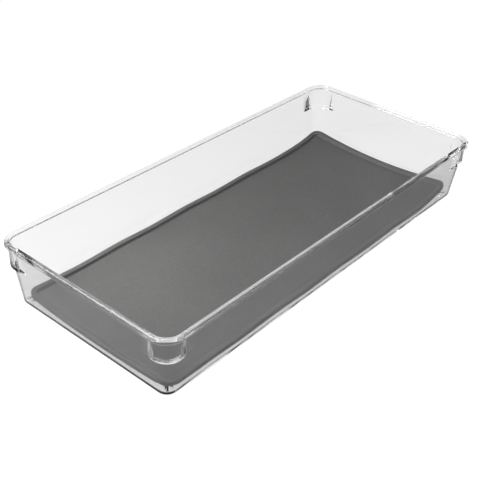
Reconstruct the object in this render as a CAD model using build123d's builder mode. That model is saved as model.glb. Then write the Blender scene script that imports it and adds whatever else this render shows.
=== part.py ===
from build123d import *
import os

# Shallow clear drawer tray with four stacking corner posts and a loose soft liner.
# Frame: origin on the underside, centred; X along the tray, Z up. Millimetres.

os.makedirs("parts", exist_ok=True)

# ---- driving dimensions -------------------------------------------------
length = 305.0  # over the rim, along X
width = 137.0  # over the rim, along Y
height = 44.0
rim_corner_radius = 12.0
rim_overhang = 1.6  # how far the lip stands out from the wall
rim_height = 3.0
rim_edge_round = 1.8
wall = 1.5
wall_lean = 5.2  # the wall leans in this far from rim to base
base_corner_radius = 7.0
base_edge_round = 2.0
floor = 1.8

post_reach = 16.0  # corner posts run this far back from the rim's outer sides
post_inset = 2.0  # the post's upright face, in from the rim's outer side
pocket_reach = 15.0  # the pockets behind the posts run this far back
post_bottom = 26.5  # height of the post's underside
post_edge_round = 1.0  # round the undersides of the posts and of the pockets
inner_edge_round = 1.5  # where the inner walls meet the floor

liner_gap = 0.3  # all round, between the liner and the tray
liner_thickness = 1.4
liner_lip = 1.8  # the raised border stands this far above the mat
liner_lip_width = 3.0
liner_corner_radius = 7.0
liner_lift_far = 6.5  # how far the two +X corners curl up
liner_lift_left = 2.0  # how far the -X, +Y corner curls up
liner_lift_near = 1.0  # how far the -X, -Y corner curls up
liner_curl_x = 42.0  # length of the curl, in from each end
liner_grid = 24  # spans of the curled sheet each way
liner_spare = 1.02  # the sheet is cut from one this much larger

# ---- derived sizes ------------------------------------------------------
cavity_top = rim_overhang + wall  # inset of the inner wall at the rim
base_inset = rim_overhang + wall_lean  # inset of the outer wall at the base
floor_inset = base_inset + wall - wall_lean * floor / height
liner_inset = floor_inset + inner_edge_round + liner_gap
liner_length = length - 2 * liner_inset
liner_width = width - 2 * liner_inset
liner_base = floor + liner_gap


def outline(inset, radius):
    """Rounded rectangle that lies the given inset inside the rim's outer side."""
    return RectangleRounded(length - 2 * inset, width - 2 * inset, radius)


def corner_blocks(inset, reach, low, high):
    """The four rounded corners of an inset outline, as upright columns."""
    with BuildPart() as blocks:
        with BuildSketch(Plane.XY.offset(low)):
            outline(inset, rim_corner_radius - inset)
        extrude(amount=high - low)
        with BuildSketch(Plane.XY.offset(low)):
            with GridLocations(length - reach, width - reach, 2, 2):
                Rectangle(reach, reach)
        extrude(amount=high - low, mode=Mode.INTERSECT)
        fillet(blocks.faces().group_by(Axis.Z)[0].edges(), post_edge_round)
    return blocks.part


def liner_height(x, y):
    """Rise of the liner's sheet at a place: flat, with each corner curled up."""
    end = max(0.0, 1 - (liner_length / 2 - abs(x)) / liner_curl_x)
    side = abs(y) / (liner_width / 2)
    near_lift = liner_lift_left if y > 0 else liner_lift_near
    lift = liner_lift_far if x > 0 else near_lift
    return lift * end**2 * side**2


def liner_sheet():
    """The liner's underside as one smooth face, a little larger than the liner."""
    grid = []
    for i in range(liner_grid + 1):
        x = (i / liner_grid) * liner_length - liner_length / 2
        row = []
        for j in range(liner_grid + 1):
            y = (j / liner_grid) * liner_width - liner_width / 2
            row.append(Vector(x * liner_spare, y * liner_spare, liner_base + liner_height(x, y)))
        grid.append(row)
    return Face.make_surface_from_array_of_points(grid)


# ---- tray: one clear moulding --------------------------------------------
posts = corner_blocks(post_inset, post_reach, post_bottom, height - rim_height)
pockets = corner_blocks(post_inset + wall, pocket_reach, post_bottom + wall, height)

with BuildPart() as tray:
    # tapered body, closed at first
    with BuildSketch(Plane.XY):
        outline(base_inset, base_corner_radius)
    with BuildSketch(Plane.XY.offset(height)):
        outline(rim_overhang, rim_corner_radius - rim_overhang)
    loft(ruled=True)
    fillet(tray.faces().sort_by(Axis.Z)[0].edges(), base_edge_round)
    # lip round the rim
    with BuildSketch(Plane.XY.offset(height - rim_height)):
        outline(0, rim_corner_radius)
    extrude(amount=rim_height)
    fillet(tray.faces().sort_by(Axis.Z)[-1].edges(), rim_edge_round)
    # stacking posts under the lip
    add(posts)
    # the hollow, with its floor
    with BuildSketch(Plane.XY.offset(floor)):
        outline(floor_inset, base_corner_radius - wall)
    with BuildSketch(Plane.XY.offset(height)):
        outline(cavity_top, rim_corner_radius - cavity_top)
    loft(ruled=True, mode=Mode.SUBTRACT)
    # pockets behind the posts
    add(pockets, mode=Mode.SUBTRACT)
    # the level faces, lowest first: the underside, then the inner floor
    level_faces = tray.faces().filter_by(Plane.XY).sort_by(Axis.Z)
    fillet(level_faces[1].edges(), inner_edge_round)
tray.part.label = "tray"
export_step(tray.part, "parts/tray.step")

# ---- liner: soft mat with a raised border and curled corners ---------------
with BuildPart() as liner:
    thicken(liner_sheet(), amount=liner_thickness)
    with BuildSketch(Plane.XY):
        RectangleRounded(liner_length, liner_width, liner_corner_radius)
    extrude(amount=height, mode=Mode.INTERSECT)
with BuildPart() as border:
    thicken(liner_sheet(), amount=liner_thickness + liner_lip)
    with BuildSketch(Plane.XY):
        RectangleRounded(liner_length, liner_width, liner_corner_radius)
        RectangleRounded(
            liner_length - 2 * liner_lip_width,
            liner_width - 2 * liner_lip_width,
            liner_corner_radius - liner_lip_width,
            mode=Mode.SUBTRACT,
        )
    extrude(amount=height, mode=Mode.INTERSECT)
with BuildPart() as mat:
    add(liner.part)
    add(border.part)
mat.part.label = "liner"
export_step(mat.part, "parts/liner.step")
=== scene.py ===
"""Clear drawer tray with a loose grey liner: the looks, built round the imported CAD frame."""
import math
import bpy
import bmesh
from mathutils import Matrix, Vector


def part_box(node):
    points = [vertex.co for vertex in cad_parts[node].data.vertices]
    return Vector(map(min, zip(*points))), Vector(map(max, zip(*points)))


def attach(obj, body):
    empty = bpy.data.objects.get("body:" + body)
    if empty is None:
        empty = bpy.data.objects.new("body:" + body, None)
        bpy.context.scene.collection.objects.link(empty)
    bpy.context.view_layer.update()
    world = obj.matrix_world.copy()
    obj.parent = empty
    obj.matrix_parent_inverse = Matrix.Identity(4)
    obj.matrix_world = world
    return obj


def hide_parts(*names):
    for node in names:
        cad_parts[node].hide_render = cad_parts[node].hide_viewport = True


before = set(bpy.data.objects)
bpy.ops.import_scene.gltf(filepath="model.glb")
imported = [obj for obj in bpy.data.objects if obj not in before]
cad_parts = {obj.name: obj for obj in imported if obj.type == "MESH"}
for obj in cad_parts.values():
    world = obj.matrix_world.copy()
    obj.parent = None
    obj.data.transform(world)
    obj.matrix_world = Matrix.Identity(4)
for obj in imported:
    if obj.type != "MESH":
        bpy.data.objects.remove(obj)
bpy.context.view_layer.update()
MM = 0.001

# ---- tray, metres ---------------------------------------------------------------
tray_low, tray_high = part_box("tray")
HALF_LENGTH = tray_high.x
HALF_WIDTH = tray_high.y
HEIGHT = tray_high.z
RIM_RADIUS = 12 * MM
RIM_HEIGHT = 3 * MM
RIM_ROUND = 1.8 * MM
OVERHANG = 1.6 * MM  # how far the lip stands out from the wall
WALL = 1.5 * MM
LEAN = 5.2 * MM  # the wall leans in this far from rim to base
BASE_RADIUS = 7 * MM
BOTTOM_ROUND = 2 * MM
FLOOR = 1.8 * MM
FLOOR_ROUND = 1.5 * MM
SMALL_ROUND = 0.35 * MM  # on the lip's sharper edges
POST_INSET = 2 * MM
POST_BOTTOM = 26.5 * MM
POST_ROUND = 1 * MM
POST_REACH = 16 * MM  # posts and pockets run this far back from the rim's outer sides
POCKET_REACH = 15 * MM
STEP_WIDTH = 0.4 * MM  # the wall steps out to a post over this width
FLAT_INSETS = (0.6 * MM, 6 * MM)  # outlines on a flat face, in from its rounded edge
UNDERSIDE_LEAST_RADIUS = 1 * MM
FLOOR_MIDDLE_RADIUS = 2 * MM

# ---- liner, metres -----------------------------------------------------------------
liner_low, liner_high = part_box("liner")
LINER_HALF_LENGTH = liner_high.x
LINER_HALF_WIDTH = liner_high.y
LINER_BASE = liner_low.z
LINER_RADIUS = 7 * MM
LINER_LEAST_RADIUS = 0.8 * MM
LINER_CORNER = 12 * MM  # each corner's part of an outline, in from its sides
LINER_THICK = 1.4 * MM
LINER_LIP = 1.8 * MM  # the raised border stands this far above the mat
LIP_WIDTH = 3.6 * MM
EDGE_BEND = 0.7 * MM  # rounding of the border's edges
CREASE = 0.9 * MM  # rounding at the border's inner foot
GROOVE_DEPTH = 0.3 * MM
GROOVE_STEPS = (0.4 * MM, 0.8 * MM, 1.2 * MM, 1.8 * MM)  # from the groove up to the mat
MAT_START = 8  # insets of the mat's outlines, in whole millimetres
MAT_MIDDLE = 44
MAT_STEP = 2
LIFT_FAR = 6.5 * MM  # how far the two +X corners curl up
LIFT_LEFT = 2 * MM  # the -X, +Y corner
LIFT_NEAR = 0.8 * MM  # the -X, -Y corner
CURL_LENGTH = 42 * MM
PULL_FAR = 2.5 * MM  # how far a curled corner draws back from the end wall
PULL_NEAR = 1 * MM
WAVE_RISE = 0.7 * MM  # the long edges lie in slack waves
WAVE_LENGTH = 62 * MM
WAVE_PHASE_NEAR = 0.6
WAVE_PHASE_FAR = 2.4

# ---- fineness of the meshes ----------------------------------------------------------
TRAY_COLUMNS = 8
LINER_COLUMNS = 20
STEP_COLUMNS = 4
ARC_COLUMNS = 14
WALL_STEPS = 8
POST_STEPS = 10
BASE_ARC = 8  # steps round the edges and corners of a profile
FLOOR_ARC = 6
ROUND_ARC = 5
SMALL_ARC = 4
FOOT_ARC = 3
SIDE_SHARES = (0.35, 0.6)  # heights of the outlines on the liner's outer side, as shares of its own


# ---- outlines --------------------------------------------------------------------------
def smooth(t):
    """Eases from 0 to 1."""
    t = min(1.0, max(0.0, t))
    return t * t * (3 - 2 * t)


def arc_steps(count):
    """Sine and cosine pairs over a quarter turn."""
    turns = [math.pi / 2 * i / count for i in range(count + 1)]
    return [(math.sin(a), math.cos(a)) for a in turns]


def quarter(half_x, half_y, inset, corner_inset, corner_radius, reach, columns):
    """One quarter of an outline, from the middle of the +X side round to the middle of the +Y side.

    The sides lie at one inset. The corner may stand further out, at its own inset,
    with a short step where it starts."""
    points = []
    side_end = half_y - reach
    for i in range(columns):
        points.append((half_x - inset, side_end * i / columns))
    for i in range(STEP_COLUMNS + 1):
        t = i / STEP_COLUMNS
        step = (inset - corner_inset) * smooth(t)
        points.append((half_x - inset + step, side_end + STEP_WIDTH * t))
    for s, c in arc_steps(ARC_COLUMNS):
        x = half_x - corner_inset - corner_radius * (1 - c)
        y = half_y - corner_inset - corner_radius * (1 - s)
        points.append((x, y))
    side_end = half_x - reach
    for i in range(STEP_COLUMNS + 1):
        t = 1 - i / STEP_COLUMNS
        step = (inset - corner_inset) * smooth(t)
        points.append((side_end + STEP_WIDTH * t, half_y - inset + step))
    for i in range(1, 2 * columns):
        points.append((side_end * (1 - i / (2 * columns)), half_y - inset))
    return points


def whole(part):
    """The full outline from its first quarter, by mirroring."""
    second = [(-x, y) for x, y in reversed(part[1:])]
    upper = part + [(0.0, part[-1][1])] + second
    lower = [(x, -y) for x, y in reversed(upper[1:])]
    return upper + [(-part[0][0], 0.0)] + lower


def ring_mesh(name, rings):
    """A closed mesh from a stack of outlines with the same number of points."""
    bm = bmesh.new()
    rows = [[bm.verts.new(p) for p in ring] for ring in rings]
    n = len(rows[0])
    for lower, upper in zip(rows, rows[1:]):
        for i in range(n):
            bm.faces.new((lower[i], lower[(i + 1) % n], upper[(i + 1) % n], upper[i]))
    for face in bm.faces:
        face.smooth = True
    bm.faces.new(list(reversed(rows[0])))
    bm.faces.new(rows[-1])
    bmesh.ops.remove_doubles(bm, verts=bm.verts, dist=1e-7)
    bmesh.ops.recalc_face_normals(bm, faces=bm.faces)
    mesh = bpy.data.meshes.new(name)
    bm.to_mesh(mesh)
    bm.free()
    piece = bpy.data.objects.new(name, mesh)
    bpy.context.scene.collection.objects.link(piece)
    return piece


# ---- tray --------------------------------------------------------------------------------
def wall_inset(z):
    """Inset of the outer wall at a height."""
    return OVERHANG + LEAN * (HEIGHT - z) / HEIGHT


def wall_radius(z):
    """Corner radius of the outer wall at a height."""
    top = RIM_RADIUS - OVERHANG
    return BASE_RADIUS + (top - BASE_RADIUS) * z / HEIGHT


def inner_inset(z):
    """Inset of the inner wall at a height."""
    return wall_inset(z) + WALL


def inner_radius(z):
    """Corner radius of the inner wall at a height."""
    return wall_radius(z) - WALL


def tray_ring(z, inset, corner_inset, corner_radius, reach):
    """One outline of the tray."""
    part = quarter(HALF_LENGTH, HALF_WIDTH, inset, corner_inset, corner_radius, reach, TRAY_COLUMNS)
    return [(x, y, z) for x, y in whole(part)]


def plain_ring(z, inset, radius, reach=POST_REACH):
    """An outline with one inset for its sides and its corners."""
    return tray_ring(z, inset, inset, radius, reach)


def post_ring(z, inset, corner_inset, reach=POST_REACH):
    """An outline whose corners have their own inset and are centred with the rim's corners."""
    return tray_ring(z, inset, corner_inset, RIM_RADIUS - corner_inset, reach)


def post_rings(inset_of, radius_of, face, low, high, reach):
    """Outlines up a wall whose corners stand out as posts from low to high."""
    flat = face + POST_ROUND
    rings = [plain_ring(low, inset_of(low), radius_of(low), reach)]
    rings.append(post_ring(low, inset_of(low), flat, reach))
    for s, c in arc_steps(ROUND_ARC)[1:]:
        z = low + POST_ROUND * (1 - c)
        rings.append(post_ring(z, inset_of(z), flat - POST_ROUND * s, reach))
    for i in range(1, POST_STEPS + 1):
        z = low + POST_ROUND + (high - low - POST_ROUND) * i / POST_STEPS
        inset = inset_of(z)
        rings.append(post_ring(z, inset, min(inset, face), reach))
    return rings


def base_rings():
    """The underside, from its middle out, and its rounded edge."""
    rings = []
    base = wall_inset(0)
    for extra in (*reversed(FLAT_INSETS), 0):
        radius = max(BASE_RADIUS - BOTTOM_ROUND - extra, UNDERSIDE_LEAST_RADIUS)
        rings.append(plain_ring(0, base + BOTTOM_ROUND + extra, radius))
    for s, c in arc_steps(BASE_ARC)[1:]:
        z = BOTTOM_ROUND * (1 - c)
        inset = base + BOTTOM_ROUND * (1 - s) + (wall_inset(z) - base) * s
        rings.append(plain_ring(z, inset, BASE_RADIUS - BOTTOM_ROUND * (1 - s)))
    return rings


def outer_rings():
    """The outer wall, with the posts at its corners, up to the lip."""
    rings = []
    rise = POST_BOTTOM - SMALL_ROUND - BOTTOM_ROUND
    for i in range(1, WALL_STEPS + 1):
        z = BOTTOM_ROUND + rise * i / WALL_STEPS
        rings.append(plain_ring(z, wall_inset(z), wall_radius(z)))
    top = HEIGHT - RIM_HEIGHT - SMALL_ROUND
    return rings + post_rings(wall_inset, wall_radius, POST_INSET, POST_BOTTOM, top, POST_REACH)


def lip_rings():
    """The lip: where it leaves the wall, its outer side, and its top in to the inner wall."""
    rings = []
    low = HEIGHT - RIM_HEIGHT
    inset = wall_inset(low)
    for s, c in arc_steps(FOOT_ARC)[1:]:
        z = low - SMALL_ROUND * (1 - s)
        rings.append(plain_ring(z, inset - SMALL_ROUND * (1 - c), RIM_RADIUS - inset))
    for s, c in arc_steps(SMALL_ARC):
        inset = SMALL_ROUND * (1 - s)
        rings.append(post_ring(low + SMALL_ROUND * (1 - c), inset, inset))
    for s, c in arc_steps(ROUND_ARC):
        inset = RIM_ROUND * (1 - c)
        rings.append(post_ring(HEIGHT - RIM_ROUND * (1 - s), inset, inset))
    for s, c in arc_steps(SMALL_ARC):
        inset = OVERHANG + WALL - SMALL_ROUND * (1 - s)
        rings.append(post_ring(HEIGHT - SMALL_ROUND * (1 - c), inset, inset, POCKET_REACH))
    return rings


def inner_rings():
    """The inner wall, down past the pockets behind the posts, and the floor in to its middle."""
    pocket_low = POST_BOTTOM + WALL
    pocket_top = HEIGHT - 2 * SMALL_ROUND
    face = POST_INSET + WALL
    rings = post_rings(inner_inset, inner_radius, face, pocket_low, pocket_top, POCKET_REACH)
    rings.reverse()
    start = pocket_low - SMALL_ROUND
    end = FLOOR + FLOOR_ROUND
    for i in range(1, WALL_STEPS + 1):
        z = start + (end - start) * i / WALL_STEPS
        rings.append(plain_ring(z, inner_inset(z), inner_radius(z), POCKET_REACH))
    for s, c in arc_steps(FLOOR_ARC)[1:]:
        turn = FLOOR_ROUND * (1 - c)
        z = FLOOR + FLOOR_ROUND * (1 - s)
        rings.append(plain_ring(z, inner_inset(end) + turn, inner_radius(end) - turn, POCKET_REACH))
    for extra in FLAT_INSETS:
        inset = inner_inset(end) + FLOOR_ROUND + extra
        rings.append(plain_ring(FLOOR, inset, FLOOR_MIDDLE_RADIUS, POCKET_REACH))
    return rings


def make_tray():
    """The clear moulding, as one closed shell."""
    return ring_mesh("tray_shell", base_rings() + outer_rings() + lip_rings() + inner_rings())


# ---- liner ---------------------------------------------------------------------------------
def liner_point(x, y, z):
    """Where a place in the flat liner comes to lie: each corner curls up, the long edges wave."""
    end = max(0.0, 1 - (LINER_HALF_LENGTH - abs(x)) / CURL_LENGTH)
    side = min(1.0, abs(y) / LINER_HALF_WIDTH)
    curl = end**2 * side**2
    pull = PULL_FAR if x > 0 else PULL_NEAR
    lift = LIFT_FAR if x > 0 else LIFT_LEFT if y > 0 else LIFT_NEAR
    phase = WAVE_PHASE_NEAR if y < 0 else WAVE_PHASE_FAR
    crest = (1 + math.sin(phase + math.tau * x / WAVE_LENGTH)) / 2
    wave = WAVE_RISE * (1 - end) * side**6 * crest
    return (x - math.copysign(pull * curl, x), y, LINER_BASE + z + lift * curl + wave)


def liner_ring(inset, z):
    """One outline of the liner, as it lies."""
    radius = max(LINER_RADIUS - inset, LINER_LEAST_RADIUS)
    reach = inset + LINER_CORNER
    part = quarter(LINER_HALF_LENGTH, LINER_HALF_WIDTH, inset, inset, radius, reach, LINER_COLUMNS)
    return [liner_point(x, y, z) for x, y in whole(part)]


def make_liner():
    """The soft mat with its raised border."""
    top = LINER_THICK + LINER_LIP
    groove = LINER_THICK - GROOVE_DEPTH
    foot = LIP_WIDTH + CREASE
    # underside, from its middle out, and up the outer edge
    rows = [(inset * MM, 0) for inset in range(MAT_MIDDLE, 0, -MAT_STEP)]
    rows += [(EDGE_BEND * (1 - s), EDGE_BEND * (1 - c)) for s, c in arc_steps(SMALL_ARC)]
    rows += [(0.0, top * t) for t in SIDE_SHARES]
    # over the border
    rows += [(EDGE_BEND * (1 - c), top - EDGE_BEND * (1 - s)) for s, c in arc_steps(ROUND_ARC)]
    rows += [(LIP_WIDTH - EDGE_BEND * (1 - s), top - EDGE_BEND * (1 - c)) for s, c in arc_steps(ROUND_ARC)]
    # down into the shallow groove at its inner foot, and up onto the mat
    rows += [(LIP_WIDTH + CREASE * (1 - c), groove + CREASE * (1 - s)) for s, c in arc_steps(ROUND_ARC)]
    for t in GROOVE_STEPS:
        rows.append((foot + t, groove + GROOVE_DEPTH * smooth(t / GROOVE_STEPS[-1])))
    rows += [(inset * MM, LINER_THICK) for inset in range(MAT_START, MAT_MIDDLE + 1, MAT_STEP)]
    return ring_mesh("liner_mat", [liner_ring(*row) for row in rows])


# ---- materials -------------------------------------------------------------------------------
PLASTIC_TINT = (0.85, 0.85, 0.855, 1)
PLASTIC_IOR = 1.5
RUBBER_ROUGHNESS = 0.42
RUBBER_SHEEN = 0.3  # specular level, a little under that of plain plastic
NOISE_SPAN = (0.3, 0.7)  # where nearly all of a noise texture's values lie
GRAIN_TONES = (0.105, 0.13)
CLOUD_TONES = (-0.008, 0.008)
DUST_TONES = (0, 0.3)
DUST_SCALE = 75  # cells to the metre, each with room for one dot
DUST_RADIUS = 0.4 * MM
DUST_SHARE = 0.35
DOT_CORE = 0.6  # the even middle of a dot, as a share of its radius
WARM = 0.985  # the grey holds this much of its tone in blue


def node_material(name):
    """A new material with its node tree and Principled shader."""
    material = bpy.data.materials.new(name)
    material.use_nodes = True
    tree = material.node_tree
    return material, tree, tree.nodes["Principled BSDF"]


def scaled(tree, value, span, target):
    """A value carried from one range to another."""
    node = tree.nodes.new("ShaderNodeMapRange")
    node.inputs["From Min"].default_value, node.inputs["From Max"].default_value = span
    node.inputs["To Min"].default_value, node.inputs["To Max"].default_value = target
    tree.links.new(value, node.inputs["Value"])
    return node.outputs["Result"]


def combined(tree, operation, first, second):
    """Two values joined by one operation."""
    node = tree.nodes.new("ShaderNodeMath")
    node.operation = operation
    tree.links.new(first, node.inputs[0])
    tree.links.new(second, node.inputs[1])
    return node.outputs["Value"]


def add_bump(tree, shader, height, strength, distance):
    """Joins a height to the shader's normal."""
    bump = tree.nodes.new("ShaderNodeBump")
    bump.inputs["Strength"].default_value = strength
    bump.inputs["Distance"].default_value = distance
    tree.links.new(height, bump.inputs["Height"])
    tree.links.new(bump.outputs["Normal"], shader.inputs["Normal"])


def noise(tree, scale, detail, roughness=0.5):
    """A noise texture in the object's own metres."""
    coords = tree.nodes.new("ShaderNodeTexCoord")
    texture = tree.nodes.new("ShaderNodeTexNoise")
    texture.inputs["Scale"].default_value = scale
    texture.inputs["Detail"].default_value = detail
    texture.inputs["Roughness"].default_value = roughness
    tree.links.new(coords.outputs["Object"], texture.inputs["Vector"])
    return texture.outputs["Fac"]


def specks(tree):
    """1 inside small scattered dots, one in a share of the cells, and 0 elsewhere."""
    coords = tree.nodes.new("ShaderNodeTexCoord")
    cells = tree.nodes.new("ShaderNodeTexVoronoi")
    cells.inputs["Scale"].default_value = DUST_SCALE
    tree.links.new(coords.outputs["Object"], cells.inputs["Vector"])
    radius = DUST_RADIUS * DUST_SCALE
    dot = scaled(tree, cells.outputs["Distance"], (radius, DOT_CORE * radius), (0, 1))
    split = tree.nodes.new("ShaderNodeSeparateColor")
    tree.links.new(cells.outputs["Color"], split.inputs["Color"])
    chosen = scaled(tree, split.outputs["Red"], (DUST_SHARE, DUST_SHARE - 0.01), (0, 1))
    return combined(tree, "MULTIPLY", dot, chosen)


def clear_plastic():
    """Clear polystyrene with the faint ripple of a moulded face."""
    material, tree, shader = node_material("clear_plastic")
    shader.inputs["Base Color"].default_value = PLASTIC_TINT
    shader.inputs["Roughness"].default_value = 0.0
    shader.inputs["IOR"].default_value = PLASTIC_IOR
    shader.inputs["Transmission Weight"].default_value = 1.0
    ripple = noise(tree, scale=45, detail=2)
    add_bump(tree, shader, ripple, strength=0.08, distance=0.2 * MM)
    return material


def soft_rubber():
    """Matte dark grey rubber: a fine grain, faint cloudy patches and a little pale dust."""
    material, tree, shader = node_material("soft_rubber")
    grain = scaled(tree, noise(tree, scale=700, detail=4, roughness=0.7), NOISE_SPAN, GRAIN_TONES)
    clouds = scaled(tree, noise(tree, scale=14, detail=3), NOISE_SPAN, CLOUD_TONES)
    dust = scaled(tree, specks(tree), (0, 1), DUST_TONES)
    tone = combined(tree, "ADD", combined(tree, "ADD", grain, clouds), dust)
    warm = scaled(tree, tone, (0, 1), (0, WARM))
    grey = tree.nodes.new("ShaderNodeCombineColor")
    tree.links.new(tone, grey.inputs["Red"])
    tree.links.new(tone, grey.inputs["Green"])
    tree.links.new(warm, grey.inputs["Blue"])
    tree.links.new(grey.outputs["Color"], shader.inputs["Base Color"])
    shader.inputs["Roughness"].default_value = RUBBER_ROUGHNESS
    shader.inputs["Specular IOR Level"].default_value = RUBBER_SHEEN
    tooth = noise(tree, scale=1100, detail=3, roughness=0.6)
    add_bump(tree, shader, tooth, strength=0.3, distance=0.12 * MM)
    return material


# ---- stage: light levels for a straight view, after one reflection and after several ----------
FLOOR_STRAIGHT = 0.96
FLOOR_ONCE = 0.12
FLOOR_AGAIN = 1.15
FLOOR_COLOUR = (0.12, 0.12, 0.12, 1)
FLOOR_HALF_SIDE = 6
FLOOR_DROP = 0.05 * MM  # keeps the floor clear of the tray's underside
SKY_OVERHEAD = 0.18
SKY_ONCE = 0.45
SKY_AGAIN = 1.1
SKY_LOW_SHARE = 0.35  # of its overhead level, a reflected sky has this much at the horizon
HORIZON_SPAN = (0.15, 0.45)  # rise of a direction over which the white horizon fades out
DOME_SPAN = (0, 0.55)
WHITE = (1, 1, 1, 1)
SOFTBOX_SIDE = 0.24
SOFTBOX_WATTS = 1.75
SOFTBOX_PLACE = (-0.22, 0.1, 0.26)
CAMERA_PLACE = (-0.38863, -0.3079, 0.33539)
CAMERA_AZIMUTH = math.radians(-50.30)
CAMERA_ELEVATION = math.radians(34.05)
CAMERA_ROLL = math.radians(2.45)
CAMERA_LENS = 67.92
LIGHT_BOUNCES = 32  # light runs far along inside a clear wall


def by_mirrors(tree, straight, once, again):
    """A strength for light that is seen straight, after one reflection, and after several.

    Each is a number or a socket. After one it is low, as if dim flags stood round the table."""
    depth = tree.nodes.new("ShaderNodeLightPath").outputs["Glossy Depth"]
    result = straight
    for step, level in ((0, once), (1, again)):
        mix = tree.nodes.new("ShaderNodeMix")
        tree.links.new(scaled(tree, depth, (step, step + 1), (0, 1)), mix.inputs["Factor"])
        for name, value in (("A", result), ("B", level)):
            if isinstance(value, float):
                mix.inputs[name].default_value = value
            else:
                tree.links.new(value, mix.inputs[name])
        result = mix.outputs["Result"]
    return result


def make_floor():
    """A plain pale floor, 12 m square."""
    bm = bmesh.new()
    bmesh.ops.create_grid(bm, x_segments=1, y_segments=1, size=FLOOR_HALF_SIDE)
    mesh = bpy.data.meshes.new("floor")
    bm.to_mesh(mesh)
    bm.free()
    floor = bpy.data.objects.new("floor", mesh)
    bpy.context.scene.collection.objects.link(floor)
    floor.location.z = -FLOOR_DROP
    material, tree, shader = node_material("floor_white")
    shader.inputs["Base Color"].default_value = FLOOR_COLOUR
    shader.inputs["Roughness"].default_value = 0.8
    shader.inputs["Specular IOR Level"].default_value = 0.0
    shader.inputs["Emission Color"].default_value = WHITE
    strength = by_mirrors(tree, FLOOR_STRAIGHT, FLOOR_ONCE, FLOOR_AGAIN)
    tree.links.new(strength, shader.inputs["Emission Strength"])
    mesh.materials.append(material)


def make_world():
    """Soft light from all round, with a white horizon behind the floor's far edge."""
    world = bpy.data.worlds.new("studio")
    bpy.context.scene.world = world
    world.use_nodes = True
    tree = world.node_tree
    background = tree.nodes["Background"]
    coords = tree.nodes.new("ShaderNodeTexCoord")
    split = tree.nodes.new("ShaderNodeSeparateXYZ")
    tree.links.new(coords.outputs["Generated"], split.inputs["Vector"])
    rise = split.outputs["Z"]
    straight = scaled(tree, rise, HORIZON_SPAN, (1, SKY_OVERHEAD))
    once = scaled(tree, rise, DOME_SPAN, (SKY_LOW_SHARE * SKY_ONCE, SKY_ONCE))
    again = scaled(tree, rise, DOME_SPAN, (SKY_LOW_SHARE * SKY_AGAIN, SKY_AGAIN))
    background.inputs["Color"].default_value = WHITE
    tree.links.new(by_mirrors(tree, straight, once, again), background.inputs["Strength"])


def make_softbox():
    """One broad light above the -X end, a little towards +Y."""
    data = bpy.data.lights.new("softbox", "AREA")
    data.size = SOFTBOX_SIDE
    data.energy = SOFTBOX_WATTS
    softbox = bpy.data.objects.new("softbox", data)
    bpy.context.scene.collection.objects.link(softbox)
    place = Vector(SOFTBOX_PLACE)
    turn = place.to_track_quat("Z", "Y").to_matrix().to_4x4()
    softbox.matrix_world = Matrix.Translation(place) @ turn


def make_camera():
    """The viewing angle: from beyond the -X, -Y corner, looking down."""
    data = bpy.data.cameras.new("camera")
    data.lens = CAMERA_LENS
    data.clip_start = 0.01
    camera = bpy.data.objects.new("camera", data)
    bpy.context.scene.collection.objects.link(camera)
    turn = Matrix.Rotation(CAMERA_AZIMUTH, 4, "Z")
    turn = turn @ Matrix.Rotation(math.pi / 2 - CAMERA_ELEVATION, 4, "X")
    turn = turn @ Matrix.Rotation(CAMERA_ROLL, 4, "Z")
    camera.matrix_world = Matrix.Translation(Vector(CAMERA_PLACE)) @ turn
    bpy.context.scene.camera = camera


# ---- put together ------------------------------------------------------------------------------
scene = bpy.context.scene
scene.view_settings.view_transform = "Standard"
scene.cycles.max_bounces = LIGHT_BOUNCES
scene.cycles.glossy_bounces = LIGHT_BOUNCES
scene.cycles.transmission_bounces = LIGHT_BOUNCES
scene.cycles.blur_glossy = 0.0

tray = make_tray()
tray.data.materials.append(clear_plastic())
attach(tray, "tray")
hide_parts("tray")

liner = make_liner()
liner.data.materials.append(soft_rubber())
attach(liner, "liner")
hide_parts("liner")

make_floor()
make_world()
make_softbox()
make_camera()
